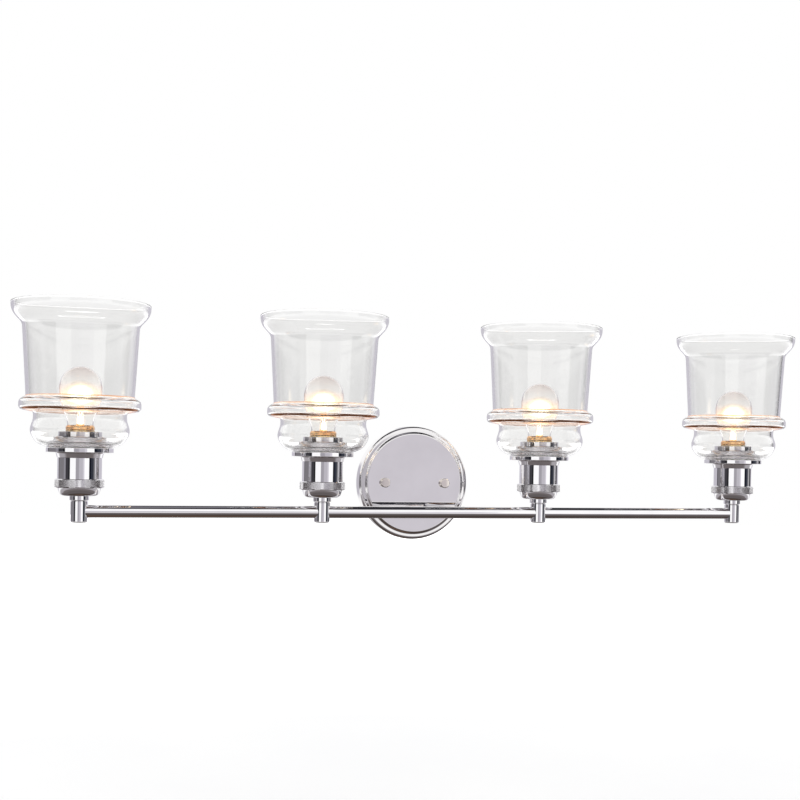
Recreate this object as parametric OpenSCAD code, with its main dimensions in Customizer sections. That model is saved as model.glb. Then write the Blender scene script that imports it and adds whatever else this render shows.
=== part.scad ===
// Vanity light bar with four upright lamps.
// Origin: centre of the canopy's back, in the plane of the wall.
// X runs along the bar, the front faces -Y, and +Z is up. Millimetres.

/* [Bar and arms] */
// Distance between neighbouring lamps
lamp_pitch = 245; // [200:1:300]
// Distance from the wall to the axis of the bar
bar_out = 82; // [60:1:110]
// Height of the bar's axis below the middle of the canopy
bar_drop = 30; // [24:1:34]
// Outer diameter of the bar
bar_d = 12.7; // [11:0.1:13]
// Outer diameter of the arms
arm_d = 9.4; // [8.6:0.1:10.4]
// Distance between the arms, and between the cap nuts
fixing_spacing = 70; // [60:1:80]

/* [Canopy] */
// Diameter of the canopy
canopy_d = 127; // [115:1:140]
// Depth of the canopy from the wall to its front disc
canopy_depth = 16.2; // [14:0.1:20]
// Diameter of the cap nuts
cap_nut_d = 10.8; // [9:0.1:13]
// Hole spacing of the wall box that the strap fits
box_screw_spacing = 88.9; // [86:0.1:92]

/* [Lampholder] */
// Diameter of the chrome socket cup
cup_d = 42.4; // [41:0.1:44]
// Diameter of the knurled band round the foot of the cup
band_d = 47.4; // [45:0.1:50]
// Diameter of the flange that the shade stands on
seat_d = 64.4; // [60:0.1:70]
// Diameter of the knurled retaining ring
ring_d = 51; // [48:0.1:54]
// Diameter of the stem below the cup
stem_d = 16.6; // [16:0.1:18]

/* [Shade and bulb] */
// Diameter of the shade's lip
shade_lip_d = 133.6; // [128:0.1:140]
// Height of the shade
shade_h = 141.6; // [138:0.1:150]
// Thickness of the shade's glass
shade_wall = 2.8; // [2.4:0.1:3.2]
// Diameter of the bulb's globe
bulb_d = 40.6; // [38:0.1:41]
// Height of the bulb's top above the bar's axis
bulb_top = 142.4; // [136:0.1:146]

/* [Hidden] */
$fn = 64;
lamp_count = 4;
COMMON_NODES = [
    "bar", "canopy", "arms", "arm_nuts", "mounting_strap", "studs", "cap_nut_left",
    "cap_nut_right", "ground_screw", "centre_contacts", "wiring_harness", "wire_connectors"
];
LAMP_NODES = [
    "stem", "socket_cup", "knurled_band", "insulator", "screw_shell", "shade_seat",
    "retaining_ring", "glass_shade", "bulb_glass", "bulb_base", "bulb_tip", "bulb_filament"
];

// Gaps: between fixed parts, for a running fit, and between faces that part company
fit_gap = 0.03;
run_gap = 0.05;
face_gap = 0.1;
// Extra length of a cutter past the face that it opens
over = 1;
// Steps in each blended corner of an outline, and of the shade's long outline
blend_steps = 6;
shade_blend_steps = 2;

// Bar and arms
bar_r = bar_d / 2;
bar_wall = 1.2;
bar_bore_r = bar_r - bar_wall;
bar_end = 4.4;
bar_half = lamp_pitch * (lamp_count - 1) / 2 + bar_end;
arm_r = arm_d / 2;
arm_bore_r = 2.8;
arm_tail_r = 4;
arm_tail = 7;
fixing_x = fixing_spacing / 2;
wire_port_r = 2.6;

// Canopy and strap
canopy_r = canopy_d / 2;
canopy_wall = 1.2;
canopy_ring_h = canopy_depth - 2.6;
canopy_ring_r = canopy_r - 6.4;
canopy_disc_r = canopy_r - 8.2;
strap_t = 2;
strap_w = 19;
strap_half = 53;
strap_centre_r = 5.2;
slot_r = 2.4;
slot_len = 9;
stud_r = 2.1;
stud_len = canopy_depth + 2.4;
cap_nut_h = 4.4;
cap_nut_bore = 3.2;
ground_x = 15;
nut_flats = 14;
nut_t = 4;

// Heights above the bar's axis, up each lamp
stem_foot = -11;
groove_z = 9.9;
groove_h = 0.6;
collar_z = groove_z + groove_h;
collar_top = 15.3;
nipple_top = 20;
band_z = 23.2;
band_h = 8.6;
shoulder_z = 52.5;
flange_z = 57.8;
seat_top = 62.2;
barrel_top = 77.7;
contact_z = 56;
shell_z = 59;
shell_top = 79.4;
collar_base = 79.8;
shade_z = seat_top + face_gap;
ring_z = shade_z + shade_wall + face_gap;
ring_h = 8.2;

// Radii round each lamp's axis
stem_r = stem_d / 2;
stem_bore_r = 3.2;
collar_r = stem_r + 1.3;
nipple_r = 4.9;
cup_r = cup_d / 2;
cup_wall = 1.2;
cup_floor = 1.4;
barrel_r = cup_r - 0.4;
band_r = band_d / 2;
insulator_r = cup_r - cup_wall - 0.1;
shell_r = 14;
shell_wall = 0.7;
base_r = 12.95;
base_core_r = 12.2;
base_rim_r = 13.9;
thread_pitch = 3.63;
seat_r = seat_d / 2;
ring_r = ring_d / 2;
lip_r = shade_lip_d / 2;
shade_hole_r = barrel_r + 1;
bulb_r = bulb_d / 2;
bulb_wall = 0.8;
neck_r = 12.4;

// Wires
wire_r = 0.75;
wire_side = 1.2;
wire_low = 0.8;
wire_top = 40;
wire_depth = 8;
connector_z = -44;
connector_x = 26;
connector_len = 15;

CHROME = [0.78, 0.78, 0.8];
BRASS = [0.82, 0.62, 0.3];
GLASS = [0.85, 0.9, 0.92, 0.35];
STEEL = [0.62, 0.62, 0.64];

// ---- outlines ----

function unit(v) = v / norm(v);

function flat(p) = [p[0], p[1]];

// Points of a corner at b, blended over a reach to each side of it
function blend(a, b, c, reach, steps) =
    let (p = b + reach * unit(a - b), q = b + reach * unit(c - b))
    [for (i = [0:steps])
        let (t = i / steps)
        (1 - t) * (1 - t) * p + 2 * t * (1 - t) * b + t * t * q];

// Each point is [radius, height, reach of its blend], and a reach of 0 keeps it sharp
function outline(points, steps = blend_steps) =
    [for (i = [0:len(points) - 1])
        each points[i][2] == 0
            ? [flat(points[i])]
            : blend(flat(points[i - 1]), flat(points[i]), flat(points[i + 1]),
                points[i][2], steps)];

// The same path moved by a wall's thickness to its left
function inset(path, wall) =
    [for (i = [0:len(path) - 1])
        let (d = unit(path[min(i + 1, len(path) - 1)] - path[max(i - 1, 0)]))
        path[i] + wall * [-d.y, d.x]];

function reversed(path) = [for (i = [len(path) - 1:-1:0]) path[i]];

// ---- general shapes ----

module lathe(points) {
    rotate_extrude() polygon(outline(points));
}

// A round rod along X from x0 to x1
module rod_x(r, x0, x1) {
    translate([x0, 0, 0]) rotate([0, 90, 0]) cylinder(h = x1 - x0, r = r);
}

// A round rod along -Y that starts at y0
module rod_front(r, y0, length) {
    translate([0, y0, 0]) rotate([90, 0, 0]) cylinder(h = length, r = r);
}

// A round wire along a list of points, with round corners
module wire(points) {
    for (i = [0:len(points) - 2]) {
        step = points[i + 1] - points[i];
        translate(points[i])
            rotate([0, acos(step.z / norm(step)), atan2(step.y, step.x)])
                cylinder(h = norm(step), r = wire_r);
    }
    for (i = [1:len(points) - 2]) {
        translate(points[i]) sphere(r = wire_r);
    }
}

module both_sides() {
    for (side = [-1, 1]) {
        translate([side * fixing_x, 0, 0]) children();
    }
}

function lamp_x(i) = (i - (lamp_count + 1) / 2) * lamp_pitch;

// Places its children on one lamp's axis, at the height of the bar
module at_lamp(i) {
    translate([lamp_x(i), -bar_out, -bar_drop]) children();
}

// ---- bar, arms and canopy ----

module bar() {
    color(CHROME)
        translate([0, -bar_out, -bar_drop])
            difference() {
                rod_x(bar_r, -bar_half, bar_half);
                rod_x(bar_bore_r, -bar_half - over, bar_half + over);
                for (i = [1:lamp_count]) {
                    translate([lamp_x(i), 0, 0]) cylinder(h = bar_r + over, r = wire_port_r);
                }
                both_sides() rod_front(wire_port_r, bar_r + over, bar_r + over);
            }
}

// Each arm has a saddle against the bar and a thinner tail through the canopy
module arms() {
    arm_length = bar_out - canopy_depth;
    color(CHROME)
        difference() {
            translate([0, 0, -bar_drop])
                both_sides()
                    difference() {
                        union() {
                            rod_front(arm_r, -canopy_depth, arm_length);
                            rod_front(arm_tail_r, arm_tail - canopy_depth, arm_tail + over);
                        }
                        rod_front(arm_bore_r, arm_tail - canopy_depth + over, bar_out);
                    }
            translate([0, -bar_out, -bar_drop]) rod_x(bar_r, -bar_half, bar_half);
        }
}

module arm_nuts() {
    color(STEEL)
        translate([0, 0, -bar_drop])
            both_sides()
                translate([0, canopy_wall + nut_t - canopy_depth, 0])
                    rotate([90, 0, 0])
                        difference() {
                            cylinder(h = nut_t, r = nut_flats / sqrt(3), $fn = 6);
                            translate([0, 0, -over])
                                cylinder(h = nut_t + 2 * over, r = arm_tail_r + fit_gap);
                        }
}

// A pressed cover: straight side, rounded shoulder, narrow ring and raised front disc
module canopy() {
    skin = outline([
        [canopy_r, 0, 0],
        [canopy_r, canopy_ring_h, 3.4],
        [canopy_ring_r, canopy_ring_h + 0.5, 0.9],
        [canopy_disc_r, canopy_depth, 1.1],
        [0, canopy_depth, 0]
    ]);
    color(CHROME)
        difference() {
            rotate([90, 0, 0])
                rotate_extrude() polygon(concat(skin, reversed(inset(skin, canopy_wall))));
            both_sides() rod_front(stud_r + 0.5, -canopy_depth / 2, canopy_depth);
            translate([0, 0, -bar_drop])
                both_sides() rod_front(arm_tail_r + fit_gap, -canopy_depth / 2, canopy_depth);
        }
}

module slot(centre_x) {
    for (end = [-1, 1]) {
        translate([centre_x + end * (slot_len / 2 - slot_r), 0, 0])
            rod_front(slot_r, over, strap_t + 2 * over);
    }
    translate([centre_x - slot_len / 2 + slot_r, -strap_t - over, -slot_r])
        cube([slot_len - 2 * slot_r, strap_t + 2 * over, 2 * slot_r]);
}

module mounting_strap() {
    end_r = strap_w / 2;
    color(STEEL)
        difference() {
            union() {
                translate([end_r - strap_half, -strap_t, -end_r])
                    cube([2 * (strap_half - end_r), strap_t, strap_w]);
                for (side = [-1, 1]) {
                    translate([side * (strap_half - end_r), 0, 0]) rod_front(end_r, 0, strap_t);
                }
            }
            rod_front(strap_centre_r, over, strap_t + 2 * over);
            both_sides() rod_front(stud_r + fit_gap, over, strap_t + 2 * over);
            translate([ground_x, 0, 0]) rod_front(stud_r + fit_gap, over, strap_t + 2 * over);
            for (side = [-1, 1]) {
                slot(side * box_screw_spacing / 2);
            }
        }
}

module studs() {
    color(STEEL) both_sides() rod_front(stud_r, 0, stud_len);
}

// A flat round nut with an eased edge and a blind bore for the stud
module cap_nut(side) {
    color(CHROME)
        translate([side * fixing_x, -canopy_depth - face_gap, 0])
            rotate([90, 0, 0])
                difference() {
                    lathe([
                        [0, 0, 0],
                        [cap_nut_d / 2, 0, 0],
                        [cap_nut_d / 2, cap_nut_h, 1.1],
                        [0, cap_nut_h, 0]
                    ]);
                    translate([0, 0, -over])
                        cylinder(h = cap_nut_bore + over, r = stud_r + run_gap);
                }
}

module ground_screw() {
    color([0.15, 0.45, 0.2])
        translate([ground_x, 0, 0]) {
            rod_front(stud_r, 0, strap_t + over);
            rod_front(4.6, -strap_t, 0.8);
            translate([0, -strap_t - 0.8, 0])
                rotate([90, 0, 0]) cylinder(h = 2.6, r = 4, $fn = 6);
        }
}

// Live leaves the bar by the left arm and neutral by the right one
module wiring_harness() {
    color([0.9, 0.9, 0.88])
        for (side = [-1, 1]) {
            line_y = side * wire_side - bar_out;
            line_z = -bar_drop - wire_low;
            far = bar_half - bar_end;
            wire([[-far - 1, line_y, line_z], [far + 1, line_y, line_z]]);
            for (i = [1:lamp_count]) {
                wire([
                    [lamp_x(i) + side, line_y, line_z],
                    [lamp_x(i) + side, line_y, wire_top - bar_drop]
                ]);
            }
            wire([
                [side * fixing_x, line_y, line_z],
                [side * fixing_x, -wire_depth, line_z],
                [side * fixing_x, -wire_depth, connector_z],
                [side * (connector_x - 4), -wire_depth, connector_z]
            ]);
        }
}

// Tapered twist-on connectors, lying in the lower half of the canopy
module wire_connectors() {
    color([0.85, 0.35, 0.1])
        for (side = [-1, 1]) {
            translate([side * connector_x, -wire_depth, connector_z])
                rotate([0, -side * 90, 0])
                    difference() {
                        lathe([
                            [0, 0, 0],
                            [5.2, 0, 0],
                            [5.2, 5, 0],
                            [3.4, connector_len, 1],
                            [0, connector_len, 0]
                        ]);
                        translate([0, 0, -over]) cylinder(h = 8 + over, r = 2.2);
                    }
        }
}

// ---- one lamp, from the bar upwards ----

// End lamps hold the end of the bar, and the others let it through
module stem(i) {
    inward = i == 1 ? 1 : i == lamp_count ? -1 : 0;
    color(CHROME)
        difference() {
            lathe([
                [0, stem_foot, 0],
                [stem_r, stem_foot, 1.4],
                [stem_r, groove_z, 0],
                [stem_r - 0.5, groove_z, 0],
                [stem_r - 0.5, collar_z, 0],
                [collar_r, collar_z + 0.5, 0.4],
                [collar_r, collar_top, 0],
                [nipple_r, collar_top, 0],
                [nipple_r, nipple_top, 0],
                [0, nipple_top, 0]
            ]);
            cylinder(h = nipple_top + over, r = stem_bore_r);
            if (inward == 0) {
                rod_x(bar_r + fit_gap, -stem_r - over, stem_r + over);
            } else {
                mirror([inward < 0 ? 1 : 0, 0, 0])
                    rod_x(bar_r + fit_gap, -bar_end - fit_gap, stem_r + over);
            }
        }
}

// Domed bottom, straight side, and a barrel turned down for the retaining ring's thread
module socket_cup() {
    skin = outline([
        [nipple_r + fit_gap, collar_top, 0],
        [cup_r - 3.2, collar_top, 3.4],
        [cup_r, band_z, 5],
        [cup_r, shoulder_z, 0],
        [barrel_r, shoulder_z, 0],
        [barrel_r, barrel_top - 0.6, 0],
        [barrel_r - 0.6, barrel_top, 0]
    ]);
    bore = cup_r - cup_wall;
    inside = outline([
        [bore, barrel_top, 0],
        [bore, band_z, 4.4],
        [bore - 3, collar_top + cup_floor, 2.6],
        [nipple_r + fit_gap, collar_top + cup_floor, 0]
    ]);
    color(CHROME) rotate_extrude() polygon(concat(skin, inside));
}

module knurled_band() {
    bore = cup_r + fit_gap;
    color(CHROME)
        lathe([
            [bore, band_z, 0],
            [band_r, band_z, 0.7],
            [band_r, band_z + band_h, 0.7],
            [bore, band_z + band_h, 0]
        ]);
}

// Fills the cup, with a well for the screw shell and a hole for the wires
module insulator() {
    floor_z = collar_top + cup_floor + fit_gap;
    color([0.93, 0.92, 0.88])
        difference() {
            lathe([
                [0, floor_z, 0],
                [insulator_r - 5, floor_z, 3],
                [insulator_r, band_z + 3, 4],
                [insulator_r, barrel_top - 1.2, 0.6],
                [0, barrel_top - 1.2, 0]
            ]);
            translate([0, 0, shell_z])
                cylinder(h = barrel_top - shell_z + over, r = shell_r + fit_gap);
            translate([0, 0, contact_z - 6])
                cylinder(h = shell_z - contact_z + 6 + over, r = 9);
            translate([0, 0, floor_z - over]) cylinder(h = contact_z - floor_z, r = nipple_r + 0.3);
        }
}

// A brass tube, plain inside, with a turned-in foot
module screw_shell() {
    color(BRASS)
        difference() {
            translate([0, 0, shell_z]) cylinder(h = shell_top - shell_z, r = shell_r);
            translate([0, 0, shell_z + shell_wall])
                cylinder(h = shell_top - shell_z, r = shell_r - shell_wall);
            translate([0, 0, shell_z - over]) cylinder(h = shell_wall + 2 * over, r = 9);
        }
}

// A rivet in the floor of the well, with a bent spring tab on it
module centre_contact() {
    well = contact_z - 6;
    color(BRASS) {
        translate([-3, -2.5, well]) cube([11, 5, 0.6]);
        translate([-3, -2.5, well]) cube([0.6, 5, 6 - face_gap]);
        translate([-3, -2.5, contact_z - face_gap - 0.6]) cube([7, 5, 0.6]);
    }
}

module centre_contacts() {
    for (i = [1:lamp_count]) {
        at_lamp(i) centre_contact();
    }
}

module shade_seat() {
    bore = barrel_r + fit_gap;
    color(CHROME)
        lathe([
            [bore, shoulder_z, 0],
            [cup_r + 0.5, shoulder_z, 0],
            [cup_r + 1.9, flange_z, 1.2],
            [seat_r, flange_z, 0.5],
            [seat_r, seat_top, 0.5],
            [bore, seat_top, 0]
        ]);
}

module retaining_ring() {
    bore = barrel_r + run_gap;
    top = ring_z + ring_h;
    color(CHROME)
        lathe([
            [bore, ring_z, 0],
            [ring_r, ring_z, 0.7],
            [ring_r, top, 0.7],
            [bore + 1.2, top, 0],
            [bore, top - 1, 0]
        ]);
}

// Blown glass: bowl, waist, rolled bead, slightly opening body and flared lip
module glass_shade() {
    skin = outline([
        [shade_hole_r, 0, 0],
        [seat_r - 1.4, 0, 2],
        [42, 4.6, 5],
        [48.4, 16, 5.5],
        [44.2, 28.6, 4],
        [45, 34.6, 1.2],
        [58.4, 37, 3.8],
        [58.4, 46.4, 3.6],
        [51.8, 49.8, 1.6],
        [56, shade_h - 21, 3.4],
        [lip_r, shade_h - 9.4, 7],
        [lip_r, shade_h - 1, 0]
    ], shade_blend_steps);
    lining = inset(skin, shade_wall);
    brim = [lip_r - shade_wall / 2, shade_h];
    color(GLASS)
        translate([0, 0, shade_z])
            rotate_extrude() polygon(concat(skin, [brim], reversed(lining)));
}

// Thin globe on a neck that stands in the base's rim
module bulb_glass() {
    foot = collar_base + 1.2;
    middle = bulb_top - bulb_r;
    skin = outline([
        [neck_r, foot, 0],
        [neck_r, foot + 7, 5],
        [bulb_r + 0.3, middle - 11, 9],
        [bulb_r + 0.3, middle + 1, 0]
    ]);
    crown = [for (a = [5:5:85]) [bulb_r * cos(a), middle + bulb_r * sin(a)]];
    peak = [[0, bulb_top], [0, bulb_top - bulb_wall]];
    lining = [for (a = [85:-5:5])
        [(bulb_r - bulb_wall) * cos(a), middle + (bulb_r - bulb_wall) * sin(a)]];
    color(GLASS)
        rotate_extrude()
            polygon(concat(skin, crown, peak, lining, reversed(inset(skin, bulb_wall))));
}

// Brass shell with rounded thread turns, a rim for the glass and a black glass foot
module bulb_base() {
    turns = 4;
    foot = 62;
    thread = [for (turn = [0:turns - 1]) for (side = [0, 1])
        [side == 0 ? base_r : base_core_r, foot + 1 + thread_pitch * (turn + side / 2), 0.6]];
    color(BRASS)
        difference() {
            lathe(concat(
                [[0, foot - 3, 0], [5, foot - 3, 0], [8.5, foot - 0.6, 0.5],
                    [base_core_r, foot, 0.3]],
                thread,
                [[base_core_r, collar_base, 0], [base_rim_r, collar_base + 0.3, 0.3],
                    [base_rim_r, collar_base + 3.8, 1], [neck_r + 0.6, collar_base + 4.4, 0],
                    [0, collar_base + 4.4, 0]]
            ));
            translate([0, 0, foot + 4])
                cylinder(h = collar_base - foot, r = base_core_r - 0.8);
            translate([0, 0, collar_base + 1.2 - face_gap])
                cylinder(h = 10, r = neck_r + fit_gap);
        }
}

module bulb_tip() {
    color(STEEL)
        lathe([
            [0, contact_z, 0],
            [3, contact_z, 0],
            [4.6, contact_z + 1.6, 0.8],
            [4.6, contact_z + 3 - face_gap, 0],
            [0, contact_z + 3 - face_gap, 0]
        ]);
}

// Glass mount with two leads, a support and a bowed tungsten coil
module bulb_filament() {
    mount_z = 70;
    mount_top = 99;
    coil_z = 112;
    coil_bow = 8;
    lead_r = 0.45;
    color([1, 0.75, 0.35]) {
        translate([0, 0, mount_z])
            lathe([
                [0, 0, 0],
                [8.6, 0, 0],
                [4.2, 9, 4],
                [2.6, mount_top - mount_z, 1],
                [0, mount_top - mount_z, 0]
            ]);
        for (side = [-1, 1]) {
            translate([side * 1.4, 0, mount_top - 2])
                rotate([0, side * atan2(coil_bow - 1.4, coil_z - mount_top + 2), 0])
                    cylinder(h = norm([coil_bow - 1.4, coil_z - mount_top + 2]), r = lead_r);
        }
        translate([0, 0, mount_top - 2])
            rotate([-atan2(coil_bow, coil_z - mount_top + 2), 0, 0])
                cylinder(h = norm([coil_bow, coil_z - mount_top + 2]), r = lead_r);
        translate([0, 0, coil_z])
            rotate_extrude(angle = 180) translate([coil_bow, 0]) circle(r = 0.8);
    }
}

bar();
canopy();
arms();
arm_nuts();
mounting_strap();
studs();
cap_nut(-1);  // cap_nut_left
cap_nut(1);  // cap_nut_right
ground_screw();
centre_contacts();
wiring_harness();
wire_connectors();
for (i = [1:lamp_count]) {
    at_lamp(i) stem(i);
    at_lamp(i) socket_cup();
    at_lamp(i) knurled_band();
    at_lamp(i) insulator();
    at_lamp(i) screw_shell();
    at_lamp(i) shade_seat();
    at_lamp(i) retaining_ring();
    at_lamp(i) glass_shade();
    at_lamp(i) bulb_glass();
    at_lamp(i) bulb_base();
    at_lamp(i) bulb_tip();
    at_lamp(i) bulb_filament();
}
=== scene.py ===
"""Looks of a vanity light bar: chrome tube and cups, clear glass shades and lit clear bulbs."""
import math

import bmesh
import bpy
from mathutils import Matrix, Vector


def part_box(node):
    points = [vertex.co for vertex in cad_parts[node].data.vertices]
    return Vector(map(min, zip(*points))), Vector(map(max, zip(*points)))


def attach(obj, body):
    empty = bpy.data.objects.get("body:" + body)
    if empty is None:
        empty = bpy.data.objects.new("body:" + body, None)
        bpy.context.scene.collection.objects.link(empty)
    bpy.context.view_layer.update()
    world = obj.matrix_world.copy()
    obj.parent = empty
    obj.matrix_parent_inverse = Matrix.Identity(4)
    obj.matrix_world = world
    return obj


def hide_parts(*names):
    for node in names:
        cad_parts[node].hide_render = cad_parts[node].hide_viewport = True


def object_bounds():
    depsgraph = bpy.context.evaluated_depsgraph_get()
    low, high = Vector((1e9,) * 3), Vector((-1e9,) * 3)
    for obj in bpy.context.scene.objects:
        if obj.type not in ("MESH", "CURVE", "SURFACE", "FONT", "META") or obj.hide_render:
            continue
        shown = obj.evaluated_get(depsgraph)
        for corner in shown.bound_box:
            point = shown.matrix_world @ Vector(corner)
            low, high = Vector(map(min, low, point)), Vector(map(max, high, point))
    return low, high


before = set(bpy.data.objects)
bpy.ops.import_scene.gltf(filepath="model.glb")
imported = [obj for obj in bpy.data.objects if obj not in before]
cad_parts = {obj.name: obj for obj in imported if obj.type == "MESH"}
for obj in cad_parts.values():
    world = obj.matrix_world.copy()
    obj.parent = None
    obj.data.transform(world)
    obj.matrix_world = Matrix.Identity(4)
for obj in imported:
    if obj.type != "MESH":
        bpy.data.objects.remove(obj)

CAD_BOUNDS = [list(corner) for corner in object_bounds()]
MM = 0.001
LAMPS = (1, 2, 3, 4)


# ---- places, from the frame ----


def middle(node):
    low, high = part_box(node)
    return (low + high) / 2


BAR_LOW, BAR_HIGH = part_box("bar")
BAR_AXIS = middle("bar")
BAR_OUT = -BAR_AXIS.y / MM
BAR_DROP = -BAR_AXIS.z / MM
BAR_HALF = (BAR_HIGH.x - BAR_LOW.x) / 2 / MM
BAR_R = (BAR_HIGH.z - BAR_LOW.z) / 2 / MM
CANOPY_R = (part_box("canopy")[1].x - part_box("canopy")[0].x) / 2 / MM
CANOPY_DEPTH = -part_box("canopy")[0].y / MM
FIXING_X = middle("cap_nut_right").x / MM
LAMP_X = {i: middle(f"glass_shade_{i}").x for i in LAMPS}

# ---- sizes in millimetres; heights are above the bar's axis ----

FIT, RUN = 0.03, 0.05  # gaps between fixed pieces, and round pieces that turn
BAR_BORE_R = BAR_R - 1.2
BAR_END = 4.4
ARM_R, ARM_BORE_R = 4.7, 2.8
ARM_TAIL_R, ARM_TAIL = 4.0, 7.0
WIRE_PORT_R = 2.6
STUD_R = 2.1
STRAP_CENTRE_R = 5.2
CANOPY_WALL = 1.2
STEM_FOOT, STEM_R, STEM_BORE_R = -11.0, 8.3, 3.2
GROOVE_LOW, GROOVE_HIGH = 9.9, 10.5
COLLAR_R, COLLAR_TOP = 9.3, 15.3
NIPPLE_R, NIPPLE_TOP = 4.9, 20.0
CUP_R, CUP_WALL, CUP_FLOOR = 21.2, 1.2, 1.4
BAND_R, BAND_LOW, BAND_HIGH = 23.7, 23.2, 31.8
SHOULDER, FLANGE, SEAT_TOP = 52.5, 57.8, 62.2
SEAT_R = 32.2
BARREL_R, BARREL_TOP = 20.8, 77.7
RING_R, RING_LOW, RING_HIGH = 25.5, 65.2, 73.4
SHADE_LOW, SHADE_H, SHADE_WALL = 62.3, 141.6, 2.8
BEAD_LOW, BEAD_HIGH = 35.4, 49.9
SHELL_LOW, SHELL_TOP, SHELL_R = 59.0, 79.4, 14.0
BULB_R, BULB_TOP, NECK_R = 20.3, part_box("bulb_glass_1")[1].z / MM + BAR_DROP, 12.4
COIL_HEIGHT, COIL_BOW = 112.0, 8.0
THREAD_PITCH = 3.63

FINE = 160
ROUND = 96
THREAD_STEPS = 10
BLEND_STEPS = 8
CREASE = math.radians(32)

ALONG_FRONT = Matrix.Rotation(math.radians(90), 4, "X")
ALONG_X = Matrix.Rotation(math.radians(90), 4, "Y")


# ---- outlines and shapes: a shape is (vertices in millimetres, faces) ----


def corner(a, b, c, reach, steps=BLEND_STEPS):
    """Points of a smooth corner at b that starts a reach before it and ends a reach after it."""
    a, b, c = Vector(a), Vector(b), Vector(c)
    start = b + reach * (a - b).normalized()
    end = b + reach * (c - b).normalized()
    ts = [k / steps for k in range(steps + 1)]
    return [(1 - t) ** 2 * start + 2 * t * (1 - t) * b + t * t * end for t in ts]


def outline(points, steps=BLEND_STEPS):
    """A path from (radius, height, reach of its corner); a reach of 0 keeps the corner sharp."""
    path = []
    for k, (r, h, reach) in enumerate(points):
        if reach == 0:
            path.append((r, h))
        else:
            sides = points[k - 1][:2], (r, h), points[(k + 1) % len(points)][:2]
            path += [tuple(p) for p in corner(*sides, reach, steps)]
    return path


def inset(path, wall):
    """The path moved by a wall's thickness to its left."""
    moved = []
    for k, (r, h) in enumerate(path):
        after, before = path[min(k + 1, len(path) - 1)], path[max(k - 1, 0)]
        along = (Vector(after) - Vector(before)).normalized()
        moved.append((r - wall * along.y, h + wall * along.x))
    return moved


def spin(path, segments=ROUND):
    """A closed outline turned round the Z axis. A radius may be a function of the angle."""
    verts, faces, rings = [], [], []
    angles = [2 * math.pi * k / segments for k in range(segments)]
    for radius, height in path:
        start = len(verts)
        if not callable(radius) and radius < 1e-6:
            verts.append((0, 0, height))
        else:
            reach = radius if callable(radius) else lambda angle, r=radius: r
            verts += [(reach(a) * math.cos(a), reach(a) * math.sin(a), height) for a in angles]
        rings.append(range(start, len(verts)))
    for low, high in zip(rings, rings[1:] + rings[:1]):
        for k in range(segments):
            n = (k + 1) % segments
            if len(low) > 1 and len(high) > 1:
                faces.append((low[k], low[n], high[n], high[k]))
            elif len(low) > 1:
                faces.append((low[k], low[n], high[0]))
            elif len(high) > 1:
                faces.append((low[0], high[n], high[k]))
    return verts, faces


def thread(root, crest, low, high, pitch, inside=False):
    """Outline points of a rounded right-hand thread. Inside, the groove faces the axis."""
    count = round((high - low) / pitch * THREAD_STEPS)
    points = []
    for k in range(count + 1):
        z = low + (high - low) * k / count
        fade = max(0.0, min(1.0, 2 * (z - low) / pitch, 2 * (high - z) / pitch))

        def radius(angle, z=z, fade=fade):
            wave = 0.5 + 0.5 * math.cos(2 * math.pi * z / pitch - angle)
            return root + (crest - root) * fade * wave

        points.append((radius, z))
    return points[::-1] if inside else points


def knurled(bore, outer, low, high, teeth=124, rows=7, depth=0.34, chamfer=0.6):
    """A ring with a diamond knurl: pyramids between two plain chamfered rims."""
    count = 2 * teeth
    turn = [2 * math.pi * k / count for k in range(count)]
    rim = outer - depth - 0.15
    start, end = low + chamfer, high - chamfer
    levels = [start + (end - start) * k / (2 * rows) for k in range(2 * rows + 1)]
    radii = [[bore] * count, [rim - chamfer] * count, [rim] * count]
    heights = [low, low, start - 0.15]
    for j, z in enumerate(levels):
        edge = j in (0, 2 * rows)
        radii.append([outer - depth if edge or (j + k) % 2 else outer for k in range(count)])
        heights.append(z)
    radii += [[rim] * count, [rim - chamfer] * count, [bore] * count]
    heights += [end + 0.15, high, high]
    verts = [
        (r * math.cos(a), r * math.sin(a), z)
        for ring, z in zip(radii, heights)
        for r, a in zip(ring, turn)
    ]
    faces = []
    first, last = 3, 2 + len(levels)
    total = len(radii)
    for j in range(total):
        low_ring, high_ring = j * count, (j + 1) % total * count
        for k in range(count):
            n = (k + 1) % count
            a, b = low_ring + k, low_ring + n
            c, d = high_ring + n, high_ring + k
            if first <= j < last:
                peak = (j - first + k) % 2 == 0
                faces += [(a, b, d), (b, c, d)] if peak else [(a, b, c), (a, c, d)]
            else:
                faces.append((a, b, c, d))
    return verts, faces


def moved(shape, matrix):
    verts, faces = shape
    return [tuple(matrix @ Vector(v)) for v in verts], faces


def joined(*shapes):
    verts, faces = [], []
    for some_verts, some_faces in shapes:
        base = len(verts)
        verts += some_verts
        faces += [tuple(base + k for k in face) for face in some_faces]
    return verts, faces


def mesh_of(name, shape):
    verts, faces = shape
    mesh = bpy.data.meshes.new(name)
    mesh.from_pydata(verts, [], faces)
    work = bmesh.new()
    work.from_mesh(mesh)
    bmesh.ops.remove_doubles(work, verts=work.verts, dist=1e-5)
    bmesh.ops.recalc_face_normals(work, faces=work.faces)
    work.to_mesh(mesh)
    work.free()
    return mesh


def shape_of(obj):
    """An object with its modifiers, as a shape. The object is removed."""
    graph = bpy.context.evaluated_depsgraph_get()
    mesh = bpy.data.meshes.new_from_object(obj.evaluated_get(graph))
    shape = [tuple(v.co) for v in mesh.vertices], [tuple(f.vertices) for f in mesh.polygons]
    bpy.data.meshes.remove(mesh)
    bpy.data.objects.remove(obj)
    return shape


def loose(name, data):
    obj = bpy.data.objects.new(name, data)
    bpy.context.scene.collection.objects.link(obj)
    return obj


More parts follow.
